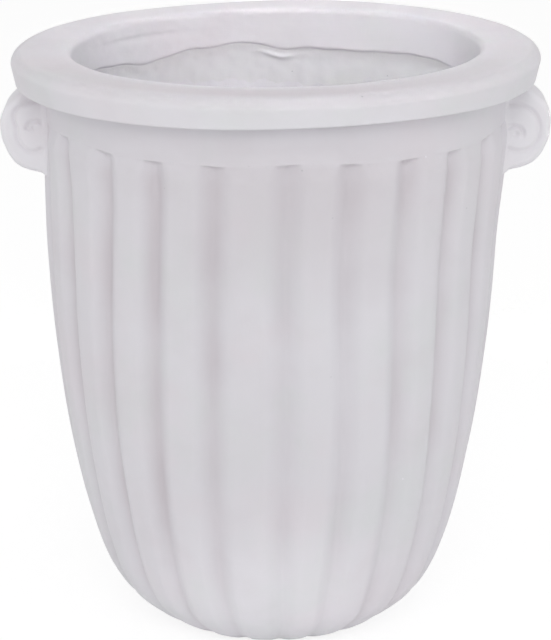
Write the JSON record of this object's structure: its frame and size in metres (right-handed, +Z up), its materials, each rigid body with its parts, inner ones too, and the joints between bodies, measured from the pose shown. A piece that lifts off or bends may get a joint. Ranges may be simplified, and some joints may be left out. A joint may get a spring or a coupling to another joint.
{
  "type": "flower pot",
  "caption": "Tall bell-shaped cast-stone flower pot with convex lobed sides, a broad flat rim, scroll ears under the rim and a lift-out drain plug.",
  "frame": {"origin": "on the pot's axis, on the ground under its foot", "axes": "+Z up along the pot's axis; +X towards the ear on the right of the picture; -Y towards the viewer"},
  "size_m": [0.461, 0.44, 0.5],
  "materials": {
    "cast_stone": "matt, faintly waxy off-white cast stone with soft mottling and fine pits",
    "bedding": "matt white bedding mortar",
    "steel": "plain stainless rod",
    "rubber": "matt dark grey rubber"
  },
  "bodies": {
    "pot": {"fluted_body": "cast_stone", "rim_ring": "cast_stone", "rim_bed": "bedding", "left_scroll": "cast_stone", "right_scroll": "cast_stone", "left_scroll_bed": "bedding", "right_scroll_bed": "bedding", "left_dowel_lower": "steel", "left_dowel_upper": "steel", "right_dowel_lower": "steel", "right_dowel_upper": "steel"},
    "plug": {"drain_plug": "rubber"}
  },
  "joints": [
    {"name": "plug_lift", "type": "slide", "parent": "pot", "child": "plug", "axis": [0, 0, 1], "range_m": [0, 0.56]}
  ]
}
